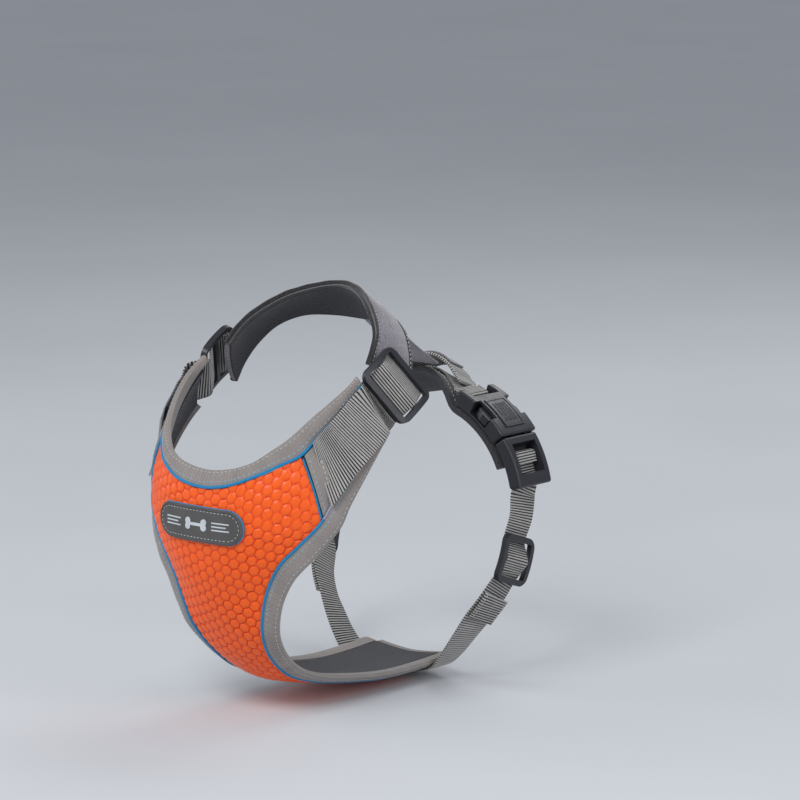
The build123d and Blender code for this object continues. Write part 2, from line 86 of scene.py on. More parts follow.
# ---- control lines, in mm: the same body lines as the CAD ----
CHEST_MID = [(0, -217, 57), (0, -220, 41), (0, -221, 24), (0, -219, 8), (0, -215, -8),
             (0, -209, -23), (0, -202, -38), (0, -193, -54), (0, -181, -71), (0, -159, -89),
             (0, -134, -97), (0, -109, -102), (0, -82, -106), (0, -55, -108), (0, -25, -107.5),
             (0, 8, -106)]
CHEST_SIDE = [(65, -185, 83), (74.8, -184.2, 60.6), (80, -181, 37), (68, -191, 20),
              (55, -197, 5), (44, -197, -14), (37.5, -195, -33), (33, -190, -50),
              (28.5, -177, -68), (27, -157, -84), (28, -132, -93), (30, -106, -98),
              (30, -80, -102), (30, -54, -104.5), (30.5, -25, -104.5), (31, 8, -103)]
ARMHOLE_EDGE = [(88.5, -171, 31), (78, -184, 12), (65.5, -192, -4), (55.5, -193, -20),
                (49, -191, -37), (44.5, -185, -53), (40, -171, -69), (39, -154, -81.5),
                (40, -131, -90), (42, -106, -94.5), (42, -80, -98.5), (42, -54, -100.5),
                (42.5, -25, -100.5), (43, 8, -99)]
NECK_EDGE = [(0, -211, 69), (20, -210.5, 71.5), (37, -207, 77), (49, -199, 86),
             (58, -189, 95), (65.5, -174, 108), (71, -158, 119), (73, -143, 128),
             (72, -130, 136)]
NECK_SEAM = [(0, -217, 57), (23, -215.6, 60.3), (43, -207.7, 68.4), (56, -196.5, 76.3),
             (65, -185, 83), (71, -170.5, 97), (75, -155, 109.5), (76.5, -142, 120),
             (75, -128.5, 130)]
ARM_EDGE = [(88.5, -171, 31), (91, -162, 47), (92.8, -149, 64), (93.2, -134.5, 80), (92, -119, 94)]
ARM_SEAM = [(80, -181, 37), (84.5, -168.5, 57), (88, -152.5, 73), (90, -136.5, 86.5),
            (89.8, -120.3, 99)]
YOKE_NECK = [(68, -116, 140), (65.5, -108, 150), (61, -100, 158.5), (52, -92, 167),
             (38, -82, 176), (19, -70, 182.5), (0, -65, 185)]
YOKE_OUTER = [(82, -94, 107), (80.5, -86, 121), (74, -77, 136), (62, -67, 150),
              (44, -56, 158), (23, -44, 158.5), (0, -38, 157)]
SPINE = [(0, -42.9, 166.5), (0, -35.3, 159.3), (0, -25, 150.8), (0, -8, 138), (0, 10, 125.5),
         (0, 28, 114.4)]
BACK_RING = [(0, 45, 103), (15, 44, 99.5), (28, 40, 93.2), (36.9, 36.4, 87.2)]
GIRTH = [(88.3, 33, 24), (89.8, 29, 9), (90.2, 24, -6), (89.8, 19, -21), (86.5, 12.5, -36),
         (80.5, 6, -50), (72, 1, -64), (63, -2, -77.5), (53, -4, -91.5), (43, -4.6, -102.2),
         (32, -5, -106.3), (20, -5, -107.6), (8, -5, -108.3)]
HANDLE = [(29.5, 41.5, 98.6), (24.5, 42.5, 102.6), (18, 43.4, 108.4), (9, 44, 113.0),
          (0, 44.2, 114.6)]
BUCKLE_CENTRE = np.array([13.8, 36.0, 16.2])
BUCKLE_R = 74.7
SLIDER_AT = np.array([83.3, -106.5, 123.2])
SLIDER_ACROSS = np.array([0.40, 0.49, -0.775])
SLIDER_ALONG = np.array([0.0, 0.845, 0.534])
GIRTH_SLIDER_AT = np.array([89.8, 19.0, -21.0])


# ---- curves and grids -------------------------------------
def unit(v):
    v = np.asarray(v, dtype=float)
    return v / np.linalg.norm(v, axis=-1, keepdims=True)


def mirrored(points):
    """The same points on the wearer's other side."""
    return np.asarray(points, dtype=float) * np.array([-1.0, 1.0, 1.0])


def both_sides(points):
    """A whole line from its left half, whose first point is on the middle plane."""
    half = np.asarray(points, dtype=float)
    return np.concatenate([mirrored(half[:0:-1]), half])


def through(points, at):
    """Places on a smooth curve through the points; `at` counts points from the first."""
    pts = np.asarray(points, dtype=float)
    at = np.asarray(at, dtype=float)
    slope = np.gradient(pts, axis=0)
    k = np.clip(at.astype(int), 0, len(pts) - 2)
    u = (at - k)[:, None]
    a, b, ma, mb = pts[k], pts[k + 1], slope[k], slope[k + 1]
    h1 = 2 * u**3 - 3 * u**2 + 1
    h2 = u**3 - 2 * u**2 + u
    return h1 * a + h2 * ma + (1 - h1) * b + (u**3 - u**2) * mb


def run_of(line):
    """The distance along a line at each of its points."""
    return np.concatenate([[0], np.cumsum(np.linalg.norm(np.diff(line, axis=0), axis=1))])


def steps(points, spacing, start=0.0, end=0.0):
    """Even places along a curve, leaving out `start` and `end` mm of it."""
    fine = np.linspace(0, len(points) - 1, 80 * (len(points) - 1) + 1)
    run = run_of(through(points, fine))
    count = max(4, int(round((run[-1] - start - end) / spacing)) + 1)
    return np.interp(np.linspace(start, run[-1] - end, count), run, fine)


def out(grid):
    """Unit normals of a grid, away from the wearer's body."""
    n = unit(np.cross(np.gradient(grid, axis=0), np.gradient(grid, axis=1)))
    middle = (grid.shape[0] // 2, grid.shape[1] // 2)
    return n if np.dot(n[middle], grid[middle] - BODY_AXIS) > 0 else -n


def across(left, right, columns, bulge=0.0, trim=(0.0, 0.0)):
    """A grid between two edge lines, trimmed by mm at each edge and bulged outward."""
    span = right - left
    wide = np.linalg.norm(span, axis=1)[:, None]
    left, right = left + span * trim[0] / wide, right - span * trim[1] / wide
    s = np.linspace(0, 1, columns)[None, :, None]
    grid = left[:, None, :] * (1 - s) + right[:, None, :] * s
    return grid + out(grid) * bulge * 4 * s * (1 - s)


def on_arc(degrees, height):
    """Points on the buckle's curve: angle up from level, and height above its base."""
    t = np.radians(np.asarray(degrees, dtype=float))
    r = BUCKLE_R + height
    return np.stack([BUCKLE_CENTRE[0] + r * np.cos(t), np.full(t.shape, BUCKLE_CENTRE[1]),
                     BUCKLE_CENTRE[2] + r * np.sin(t)], axis=-1)


def turned(points, flip):
    """Left-hand points, or their mirror image for the right-hand side."""
    return mirrored(points) if flip else np.asarray(points, dtype=float)


def soft_noise(points, scale, seed):
    """Smooth wandering values, the same each run: a few sine waves in fixed directions."""
    rng = np.random.default_rng(seed)
    value = np.zeros(points.shape[:-1])
    for k in range(6):
        direction = unit(rng.normal(size=3)) * (1 + 0.6 * k) / scale
        value += np.sin(points @ direction * 2 * np.pi + rng.uniform(0, 6.28)) / (1 + 0.6 * k)
    return value / 2.5


# ---- materials --------------------------------------------
def shader(name):
    """A new node material: the material, its tree and its shader."""
    made = bpy.data.materials.new(name)
    made.use_nodes = True
    return made, made.node_tree, made.node_tree.nodes["Principled BSDF"]


def node(tree, kind, **settings):
    """A new node, with values for its sockets, or its own settings, by name."""
    made = tree.nodes.new(kind)
    for key, value in settings.items():
        if key in made.inputs:
            made.inputs[key].default_value = value
        else:
            setattr(made, key, value)
    return made


def ramp(tree, source, stops):
    """Colours by value: stops are (place, colour)."""
    made = tree.nodes.new("ShaderNodeValToRGB")
    while len(made.color_ramp.elements) < len(stops):
        made.color_ramp.elements.new(0.5)
    for element, (place, colour) in zip(made.color_ramp.elements, stops):
        element.position = place
        element.color = (*colour, 1.0) if len(colour) == 3 else colour
    tree.links.new(source, made.inputs[0])
    return made.outputs[0]


def mix(tree, factor, a, b, mode="MIX"):
    """Two colours mixed; each of the three may be a number, a colour or a socket."""
    made = tree.nodes.new("ShaderNodeMix")
    made.data_type = "RGBA"
    made.blend_type = mode
    for socket, value in ((made.inputs[0], factor), (made.inputs[6], a), (made.inputs[7], b)):
        if isinstance(value, (int, float)):
            socket.default_value = value
        elif isinstance(value, tuple):
            socket.default_value = (*value, 1.0)
        else:
            tree.links.new(value, socket)
    return made.outputs[2]


def math_node(tree, operation, a, b=None):
    """One step of arithmetic on numbers or sockets."""
    made = tree.nodes.new("ShaderNodeMath")
    made.operation = operation
    for k, value in enumerate((a, b)):
        if value is None:
            continue
        if isinstance(value, (int, float)):
            made.inputs[k].default_value = value
        else:
            tree.links.new(value, made.inputs[k])
    return made.outputs[0]


def bump(tree, bsdf, height, strength, distance):
    """Fine relief from a height socket; distance is in metres."""
    made = node(tree, "ShaderNodeBump", Strength=strength, Distance=distance)
    tree.links.new(height, made.inputs["Height"])
    tree.links.new(made.outputs[0], bsdf.inputs["Normal"])


def noise(tree, scale, detail=4.0):
    """Cloudy noise fixed to the piece, in waves per metre."""
    made = node(tree, "ShaderNodeTexNoise", Scale=scale, Detail=detail)
    place = tree.nodes.new("ShaderNodeTexCoord")
    tree.links.new(place.outputs["Object"], made.inputs["Vector"])
    return made.outputs["Fac"]


def uv(tree):
    """The piece's own flat coordinates, in mm: across and along."""
    made = tree.nodes.new("ShaderNodeUVMap")
    split = tree.nodes.new("ShaderNodeSeparateXYZ")
    tree.links.new(made.outputs[0], split.inputs[0])
    return split.outputs[0], split.outputs[1]


def wave01(tree, value, pitch):
    """0 to 1 wave of a coordinate in mm."""
    made = math_node(tree, "SINE", math_node(tree, "MULTIPLY", value, 2 * np.pi / pitch))
    return math_node(tree, "ADD", math_node(tree, "MULTIPLY", made, 0.5), 0.5)


def set_surface(bsdf, rough, sheen=0.0, coat=0.0, specular=0.5, metallic=0.0):
    """The shader's constant values, on its own sockets."""
    bsdf.inputs["Roughness"].default_value = rough
    bsdf.inputs["Sheen Weight"].default_value = sheen
    bsdf.inputs["Coat Weight"].default_value = coat
    bsdf.inputs["Specular IOR Level"].default_value = specular
    bsdf.inputs["Metallic"].default_value = metallic


def clouded(tree, bsdf, tone, scale, shade):
    """The base colour: a tone, darkened in soft patches down to `shade`."""
    cloud = ramp(tree, noise(tree, scale), [(0.3, shade), (0.7, (1.0, 1.0, 1.0))])
    tree.links.new(mix(tree, 1.0, tone, cloud, "MULTIPLY"), bsdf.inputs["Base Color"])


def quilt_material():
    """Glossy orange fabric, darker and redder in the grooves as painted shade."""
    made, tree, bsdf = shader("orange_quilt")
    groove = node(tree, "ShaderNodeAttribute", attribute_name="groove").outputs["Fac"]
    # painted shade: the orange darkens and reddens towards the floors of the grooves
    tone = ramp(tree, groove, [(0.0, (0.52, 0.022, 0.0)), (0.22, (0.78, 0.055, 0.001)),
                               (0.6, (0.98, 0.105, 0.001)), (1.0, (1.0, 0.125, 0.002))])
    clouded(tree, bsdf, tone, 260.0, (0.94, 0.9, 0.9))
    set_surface(bsdf, 0.42, coat=0.12, specular=0.4)
    u, v = uv(tree)
    weave = math_node(tree, "MULTIPLY", wave01(tree, u, 0.55), wave01(tree, v, 0.55))
    bump(tree, bsdf, weave, 0.18, 0.00012)
    return made


def ribbed_material(name, light, dark, pitch, rough, sheen=0.25):
    """Tape with fine ribs across its length, darker between the ribs as painted shade in their
    hollows.
    """
    made, tree, bsdf = shader(name)
    u, v = uv(tree)
    rib = wave01(tree, v, pitch)
    thread = wave01(tree, u, pitch * 0.62)
    # painted shade: the colour goes from the light tone on the ribs to the dark tone in the hollows
    # between them
    tone = ramp(tree, rib, [(0.0, dark), (0.45, light), (1.0, light)])
    clouded(tree, bsdf, tone, 90.0, (0.88, 0.87, 0.87))
    set_surface(bsdf, rough, sheen=sheen, specular=0.3)
    height = math_node(tree, "ADD", math_node(tree, "MULTIPLY", rib, 0.7),
                       math_node(tree, "MULTIPLY", thread, 0.3))
    bump(tree, bsdf, height, 0.5, 0.0002)
    return made


def webbing_material():
    """Black webbing with raised off-white bars across it."""
    made, tree, bsdf = shader("striped_webbing")
    u, v = uv(tree)
    bar = wave01(tree, v, RIB)
    thread = wave01(tree, u, 0.85)
    # painted shade: the off-white bars are darker between their threads, where the bump sinks
    white = mix(tree, thread, (0.34, 0.325, 0.31), (0.56, 0.54, 0.52))
    edge = ramp(tree, math_node(tree, "ADD", bar, math_node(tree, "MULTIPLY", thread, 0.08)),
                [(0.40, (0.0, 0.0, 0.0)), (0.56, (1.0, 1.0, 1.0))])
    tone = mix(tree, edge, (0.012, 0.012, 0.014), white)
    clouded(tree, bsdf, tone, 120.0, (0.85, 0.85, 0.85))
    set_surface(bsdf, 0.7, sheen=0.2, specular=0.3)
    bump(tree, bsdf, math_node(tree, "ADD", bar, math_node(tree, "MULTIPLY", thread, 0.35)),
         0.5, 0.00025)
    return made


def felt_material(name, light, dark, scale=900.0, rough=0.9, sheen=0.5):
    """Speckled fibres with a soft sheen; also thread, foam and black tape."""
    made, tree, bsdf = shader(name)
    speck = noise(tree, scale, 6.0)
    tone = ramp(tree, speck, [(0.36, dark), (0.62, light)])
    clouded(tree, bsdf, tone, 45.0, (0.86, 0.86, 0.88))
    set_surface(bsdf, rough, sheen=sheen, specular=0.2)
    bump(tree, bsdf, speck, 0.5, 0.0003)
    return made


def mesh_material(name, light, dark, pitch, rough=0.8, sheen=0.2):
    """Knitted air mesh: rows of small round holes, painted near black as the shade inside them."""
    made, tree, bsdf = shader(name)
    u, v = uv(tree)
    diag = math_node(tree, "ADD", u, v)
    other = math_node(tree, "SUBTRACT", u, v)
    cell = math_node(tree, "MULTIPLY", wave01(tree, diag, pitch), wave01(tree, other, pitch))
    # painted shade: the holes go from the mesh colour to the dark tone, standing in for their
    # shaded depth
    tone = ramp(tree, cell, [(0.0, light), (0.45, light), (0.75, dark)])
    tree.links.new(mix(tree, 0.25, tone, noise(tree, 500.0), "MULTIPLY"),
                   bsdf.inputs["Base Color"])
    set_surface(bsdf, rough, sheen=sheen, specular=0.25)
    bump(tree, bsdf, math_node(tree, "SUBTRACT", 1.0, cell), 0.7, 0.0005)
    return made


def plastic_material(name, colour, rough):
    """Satin moulded plastic or rubber with a fine grain and uneven gloss."""
    made, tree, bsdf = shader(name)
    grain = noise(tree, 2600.0, 3.0)
    wear = ramp(tree, noise(tree, 60.0), [(0.35, tuple(c * 0.8 for c in colour)), (0.75, colour)])
    tree.links.new(wear, bsdf.inputs["Base Color"])
    gloss = ramp(tree, noise(tree, 140.0), [(0.3, (rough - 0.06,) * 3), (0.7, (rough + 0.07,) * 3)])
    tree.links.new(gloss, bsdf.inputs["Roughness"])
    bsdf.inputs["Specular IOR Level"].default_value = 0.55
    bump(tree, bsdf, grain, 0.12, 0.0001)
    return made


def metal_material():
    made, tree, bsdf = shader("polished_steel")
    tone = ramp(tree, noise(tree, 80.0), [(0.3, (0.62, 0.62, 0.64)), (0.7, (0.8, 0.8, 0.82))])
    tree.links.new(tone, bsdf.inputs["Base Color"])
    set_surface(bsdf, 0.22, metallic=1.0)
    bump(tree, bsdf, noise(tree, 1500.0), 0.06, 0.0001)
    return made


ORANGE = quilt_material()
# the second colour of each ribbed tape is painted shade between its ribs
GREY_TAPE = ribbed_material("grey_grosgrain", (0.36, 0.325, 0.305), (0.13, 0.115, 0.11), 0.95, 0.75)
BLUE = ribbed_material("blue_piping", (0.006, 0.27, 0.56), (0.003, 0.17, 0.40), 1.1, 0.5, 0.1)
LILAC = ribbed_material("lilac_piping", (0.36, 0.37, 0.50), (0.22, 0.23, 0.34), 1.1, 0.35, 0.1)
WEBBING = webbing_material()
FELT = felt_material("grey_felt", (0.27, 0.25, 0.28), (0.15, 0.138, 0.158))
BLACK_TAPE = felt_material("black_tape", (0.05, 0.048, 0.052), (0.012, 0.012, 0.014), 1200.0)
# the second colour of each mesh is painted shade in its holes
SLATE = mesh_material("slate_mesh", (0.045, 0.07, 0.078), (0.008, 0.012, 0.014), 2.6)
LINING = mesh_material("air_mesh_lining", (0.05, 0.05, 0.06), (0.008, 0.008, 0.01), 2.2)
PLASTIC = plastic_material("black_plastic", (0.022, 0.023, 0.03), 0.36)
LABEL = plastic_material("label_rubber", (0.09, 0.088, 0.085), 0.62)
PALE = plastic_material("pale_rubber", (0.62, 0.66, 0.70), 0.55)
THREAD_PALE = felt_material("pale_thread", (0.72, 0.76, 0.76), (0.40, 0.46, 0.48), 2200.0, 0.7)
THREAD_BLUE = felt_material("light_blue_thread", (0.42, 0.60, 0.68), (0.16, 0.34, 0.44),
                            2200.0, 0.7)
FOAM = felt_material("foam", (0.62, 0.60, 0.56), (0.40, 0.38, 0.35), 700.0, 0.95, 0.1)
STEEL = metal_material()


# ---- meshes -----------------------------------------------
def make(name, verts, faces, uvs, material, replaced=(), body="harness", sharp=0.7):
    """A piece from points in mm, on its body, with the CAD nodes that it stands for."""
    mesh = bpy.data.meshes.new(name)
    mesh.from_pydata((np.asarray(verts) * MM).tolist(), [], faces)
    layer = mesh.uv_layers.new(name="UVMap")
    index = np.empty(len(mesh.loops), dtype=np.int32)
    mesh.loops.foreach_get("vertex_index", index)
    layer.data.foreach_set("uv", np.asarray(uvs, dtype=np.float32)[index].ravel())
    mesh.materials.append(material)
    mesh.shade_smooth()
    mesh.set_sharp_from_angle(angle=sharp)
    obj = bpy.data.objects.new(name, mesh)
    bpy.context.scene.collection.objects.link(obj)
    if body:
        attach(obj, body)
    if replaced:
        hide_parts(*replaced)
    return obj


def tube(name, loops, uvs, material, replaced=(), body="harness", sharp=0.9):
    """A closed mesh from a row of closed sections, with both ends capped."""
    rows, around, _ = loops.shape
    i = np.arange(rows - 1)[:, None] * around
    k = np.arange(around)[None, :]
    nxt = (k + 1) % around
    quads = np.stack([i + k, i + nxt, i + around + nxt, i + around + k], -1).reshape(-1, 4)
    verts = loops.reshape(-1, 3)
    a, b, c, d = (verts[quads[:, j]] for j in range(4))
    turn = np.einsum("ij,ij->i", np.cross(b - a, c - a), (a + b + c + d) / 4 - verts.mean(0)).sum()
    caps = [list(range(around))[::-1], list(range((rows - 1) * around, rows * around))]
    faces = quads.tolist() + caps
    if turn < 0:
        faces = [f[::-1] for f in faces]
    return make(name, verts, faces, uvs.reshape(-1, 2), material, replaced, body, sharp)


def flat_uv(grid):
    """Across and along distances of a grid, in mm."""
    wide = np.cumsum(np.linalg.norm(np.diff(grid, axis=1), axis=2).mean(0))
    along = run_of(grid[:, grid.shape[1] // 2])
    u, v = np.meshgrid(np.concatenate([[0], wide]), along)
    return np.stack([u, v], -1)


def plate(name, grid, top, base, material, replaced=(), slot=None, body="harness", n=None):
    """A closed slab round a grid: heights above and below it, numbers or arrays."""
    n = out(grid) if n is None else n
    shape = grid.shape[:2]
    top = np.broadcast_to(top, shape)[:, :, None]
    base = np.broadcast_to(base, shape)[:, :, None]
    loops = np.concatenate([grid + n * top, (grid + n * base)[:, ::-1]], axis=1)
    flat = flat_uv(grid)
    return tube(name, loops, np.concatenate([flat, flat[:, ::-1]], axis=1), material, replaced,
                body)


def ribbon_frame(centre, sideways):
    """A strap's middle line with its sideways and outward directions."""
    centre = np.asarray(centre, dtype=float)
    side = unit(np.broadcast_to(sideways, centre.shape))
    up = unit(np.cross(np.gradient(centre, axis=0), side))
    side = unit(np.cross(up, np.gradient(centre, axis=0)))
    return centre, side, up


def webbing(name, path, sideways, width, thick, replaced, body="harness", bulge=0.0, flip=False,
            spacing=0.325, slot="striped_webbing", material=WEBBING, depth=0.16, skew=0.0):
    """A strap with bars across it, raised by `depth` on both faces, and round edges.

    `bulge` bends it across its width. Over its first `skew` mm its end turns from the given
    sideways direction to square. Returns the piece and its rows, for stitches."""
    at = steps(path, spacing)
    sides = np.broadcast_to(sideways, (len(path), 3))
    centre, side, up = ribbon_frame(through(path, at), through(sides, at))
    if flip:
        centre, side, up = mirrored(centre), mirrored(side), mirrored(up)
    drop = np.interp(at, np.linspace(0, len(path) - 1, np.size(bulge)), np.atleast_1d(bulge))
    s = np.array([-1, -0.985, -0.93, -0.6, -0.2, 0.2, 0.6, 0.93, 0.985, 1])
    round_off = np.array([0.35, 0.75, 1, 1, 1, 1, 1, 1, 0.75, 0.35])
    grid = (centre[:, None] + side[:, None] * s[None, :, None] * width / 2
            - up[:, None] * (drop[:, None] * s[None] ** 2)[:, :, None])
    along = run_of(centre)
    if skew:
        way = unit(np.gradient(centre, axis=0))
        want = turned(unit(through(sides, at)), flip)
        slope = np.sum(want * way, axis=1) / np.sum(want * side, axis=1)
        slope = slope * np.clip(1 - along / skew, 0, 1)
        grid = grid + way[:, None] * (slope[:, None] * s[None] * width / 2)[:, :, None]
    bars = depth * np.sin(along * 2 * np.pi / RIB)
    height = (thick / 2 - depth * 0.5 + bars)[:, None] * round_off[None]
    made = plate(name, grid, height, -height, material, replaced, slot, body,
                 n=np.broadcast_to(up[:, None], grid.shape))
    return made, (centre, side, up, along)


# one raised thread: (along, across, up) as shares of its length, width and lift
THREAD = [(-0.5, 0, -0.4), (-0.32, -0.5, 0), (-0.32, 0, 0.75), (-0.32, 0.5, 0),
          (0.32, -0.5, 0), (0.32, 0, 0.75), (0.32, 0.5, 0), (0.5, 0, -0.4),
          (0.0, -0.5, 0.05), (0.0, 0, 1.0), (0.0, 0.5, 0.05)]
THREAD_FACES = [(0, 1, 2), (0, 2, 3), (1, 8, 9, 2), (2, 9, 10, 3), (8, 4, 5, 9), (9, 5, 6, 10),
                (4, 7, 5), (5, 7, 6), (0, 3, 1), (3, 10, 8, 1), (10, 6, 4, 8), (6, 7, 4)]


def stitches(name, line, up, material, length, gap, width, lift, body="harness"):
    """A row of short raised threads along a line."""
    along = run_of(line)
    count = int(along[-1] // (length + gap))
    verts, faces, uvs = [], [], []
    for k in range(count):
        where = (k + 0.5) * (length + gap)
        here = np.array([np.interp(where, along, line[:, j]) for j in range(3)])
        ahead = np.array([np.interp(where + 0.5, along, line[:, j]) for j in range(3)])
        normal = unit([np.interp(where, along, up[:, j]) for j in range(3)])
        forward = unit(ahead - here)
        side = unit(np.cross(normal, forward))
        base = len(verts)
        for x, y, z in THREAD:
            verts.append(here + forward * x * length + side * y * width + normal * z * lift)
            uvs.append((y, x * length))
        faces += [tuple(base + i for i in face) for face in THREAD_FACES]
    return make(name, verts, faces, uvs, material, body=body)


def rib_wave(run, depth, pitch=TAPE_RIB):
    """The ribs of a tape, as heights along it."""
    return depth * np.sin(run * 2 * np.pi / pitch)


def round_bar(line, side, up, wide, high, points):
    """Oval sections along a line, `wide` to each side and `high` up and down."""
    a = np.linspace(0, 2 * np.pi, points + 1)[:-1]
    loops = (line[:, None] + up * (np.sin(a) * high)[None, :, None]
             + side * (np.cos(a) * wide)[None, :, None])
    return loops, np.stack(np.meshgrid(a, run_of(line)), -1)


def bead(name, line, beside, radius, lift, material, replaced):
    """A round bead along a seam; `beside` only gives the direction across the seam."""
    side = unit(np.asarray(beside, dtype=float) - line)
    along = unit(np.gradient(line, axis=0))
    n = unit(np.cross(side, along))
    facing = np.einsum("ij,ij->i", n, line - BODY_AXIS).mean()
    n = n if facing > 0 else -n
    loops, uvs = round_bar(line, side[:, None], n[:, None], radius, radius, 14)
    return tube(name, loops + n[:, None] * lift, uvs * [radius, 1.0], material, replaced)


def stitch_row(name, strap_rows, where, width, lift_up, material, count, gap, body="harness"):
    """Rows of stitches straight across a strap, the first `where` mm along it."""
    centre, side, up, along = strap_rows
    for k in range(count):
        here = np.array([np.interp(where + k * gap, along, centre[:, j]) for j in range(3)])
        index = int(np.argmin(np.abs(along - where - k * gap)))
        s = np.linspace(-0.5, 0.5, 30)[:, None] * width
        line = here + side[index] * s + up[index] * lift_up
        stitches("%s_%d" % (name, k), line, np.broadcast_to(up[index], line.shape), material,
                 2.2, 1.2, 0.5, 0.3, body)


def edge_stitches(name, strap_rows, inset, lift_up, material, start=0.0, end=0.0, body="harness"):
    """Stitches along both edges of a strap, leaving out `start` and `end` mm of it."""
    centre, side, up, along = strap_rows
    keep = (along >= start) & (along <= along[-1] - end)
    for tag, sign in (("a", -1), ("b", 1)):
        line = centre[keep] + side[keep] * sign * inset + up[keep] * lift_up
        stitches(name + tag, line, up[keep], material, 2.2, 1.4, 0.5, 0.28, body)


SIDES = (("l", False), ("r", True))

# ---- chest panel ------------------------------------------
CHEST_START = 0.06              # the first row, in points of CHEST_MID
QUILT_ROWS, QUILT_COLUMNS = 300, 176
QUILT_MIDDLE = QUILT_COLUMNS // 2
QUILT_ROW = 90                  # the row whose pillows keep their true places
QUILT_BACK = 25                 # the hidden back of the quilt has every 25th column
GROOVE, PILLOW = -0.7, 1.15     # height of a groove, and of a pillow above it
UNDER_LABEL = 0.1               # most height of the quilt under the label
FOAM_LAYER, LINING_LAYER = (-2.0, -4.6), (-4.7, -5.6)


def chest_grid(rows, columns, edge=0.4):
    """The front panel: mid line, side lines, and the shape between them."""
    at = np.linspace(CHEST_START, len(CHEST_MID) - 1, rows)
    mid, side = through(CHEST_MID, at), through(CHEST_SIDE, at)
    lean = unit(np.gradient(side, axis=0))[:, :1]
    inset = edge / np.sqrt(1 - lean**2)
    s = np.linspace(-1, 1, columns)[None, :] * (1 - inset / side[:, :1])
    depth = np.interp(at, [0, 3], [3.0, 2.4])[:, None]
    rise = np.interp(at, [0, 3], [2.0, 1.6])[:, None]
    grid = np.empty((rows, columns, 3))
    grid[:, :, 0] = side[:, :1] * s
    grid[:, :, 1] = mid[:, 1:2] + (side[:, 1:2] - mid[:, 1:2]) * np.abs(s) ** depth
    grid[:, :, 2] = mid[:, 2:3] + (side[:, 2:3] - mid[:, 2:3]) * np.abs(s) ** rise
    return grid


def honeycomb(u, v):
    """0 in the stitched grooves, 1 on a pillow's middle."""
    half = HEX / 2
    step_u = HEX * np.sqrt(3) / 2
    best = np.full(u.shape, 9.0)
    for shift in (0.0, 1.0):
        du = u - (np.round((u / step_u - shift) / 2) * 2 + shift) * step_u
        dv = v - (np.round((v - shift * half) / HEX) * HEX + shift * half)
        away = np.maximum(np.abs(dv), np.abs(du) * np.sqrt(3) / 2 + np.abs(dv) / 2) / half
        best = np.minimum(best, away)
    return 1 - np.clip(best, 0, 1)


def quilt_places(grid):
    """Distances across and along the panel, so that the pillows keep one size."""
    sideways = np.cumsum(np.linalg.norm(np.diff(grid, axis=1), axis=2), axis=1)
    u = np.concatenate([np.zeros((len(grid), 1)), sideways], axis=1)
    u = u - u[:, QUILT_MIDDLE:QUILT_MIDDLE + 1]
    moved = np.diff(grid, axis=0)
    row_way = unit(np.gradient(grid, axis=1))[:-1]
    moved = moved - row_way * np.sum(moved * row_way, axis=2, keepdims=True)
    lengthways = np.cumsum(np.linalg.norm(moved, axis=2), axis=0)
    v = np.concatenate([np.zeros((1, QUILT_COLUMNS)), lengthways])
    return u, v - v[QUILT_ROW] + v[QUILT_ROW, QUILT_MIDDLE]


def chest_quilt():
    """The honeycomb front: pillows between stitched grooves, flat under the label."""
    grid = chest_grid(QUILT_ROWS, QUILT_COLUMNS)
    n = out(grid)
    u, v = quilt_places(grid)
    inner = honeycomb(u, v)
    pillow = 1 - (1 - np.clip(inner / 0.5, 0, 1)) ** 2.6
    uneven = soft_noise(grid, 34.0, 3) * 0.22
    height = GROOVE + PILLOW * pillow + uneven * pillow
    under = ((np.abs(grid[:, :, 0]) < 40.5) & (np.abs(grid[:, :, 2] - LABEL_Z) < 14.0)
             & (grid[:, :, 1] < -185))
    height = np.where(under, np.minimum(height, UNDER_LABEL), height)
    columns = np.arange(QUILT_COLUMNS)
    edge = np.minimum(columns, columns[::-1])[None, :] / 4.0
    height = height * np.clip(edge, 0.35, 1)
    back = (grid - n * 1.8)[:, ::-1][:, ::QUILT_BACK]
    loops = np.concatenate([grid + n * height[:, :, None], back], 1)
    flat = np.stack([u, v], -1)
    uvs = np.concatenate([flat, flat[:, ::-1][:, ::QUILT_BACK]], axis=1)
    made = tube("chest_quilt", loops, uvs, ORANGE, ["chest_shell"])
    # painted shade of the grooves, kept on each point: 0 in a groove, rising to 1 towards a pillow;
    # the hidden back gets 1
    tone = np.ones(loops.shape[:2])
    tone[:, :QUILT_COLUMNS] = np.clip(inner / 0.24, 0, 1)
    layer = made.data.attributes.new("groove", "FLOAT", "POINT")
    layer.data.foreach_set("value", tone.astype(np.float32).ravel())


def chest_layers():
    """The foam and the air-mesh lining behind the quilt."""
    grid = chest_grid(90, 41)
    foam = plate("chest_foam_pad", grid, *FOAM_LAYER, FOAM, ["chest_foam"], "foam")
    plate("chest_air_mesh", grid, *LINING_LAYER, LINING, ["chest_lining"], "air_mesh")


def rear_band():
    """Ribbed tape over the panel's rear end."""
    rear = chest_grid(61, 81)[-1]
    row = np.linspace(0.4, 5.2, 9)[:, None, None]
    grid = rear[None] + np.array([0, 1, 0.06]) * row
    plate("rear_band", grid, 0.5 + rib_wave(run_of(rear), 0.12)[None, :], -5.2, GREY_TAPE,
          ["chest_rear_tape"], "grosgrain")


chest_quilt()
chest_layers()

# ---- bindings and piping ----------------------------------
ARMHOLE_SEAM = CHEST_SIDE[:1:-1] + ARM_SEAM[1:]
ARMHOLE_OUTSIDE = ARMHOLE_EDGE[::-1] + ARM_EDGE[1:]
BINDING_END, PIPING_END = 6.0, 8.0      # mm left free at the arms' ends
BEAD_LIFT = 0.5
LILAC_FROM = 13.7 / 17          # share of the armhole seam where its piping turns lilac
CROSS_LEAN = np.array([0.5, 5.0, 9.0])  # direction across the seam between chest and arm


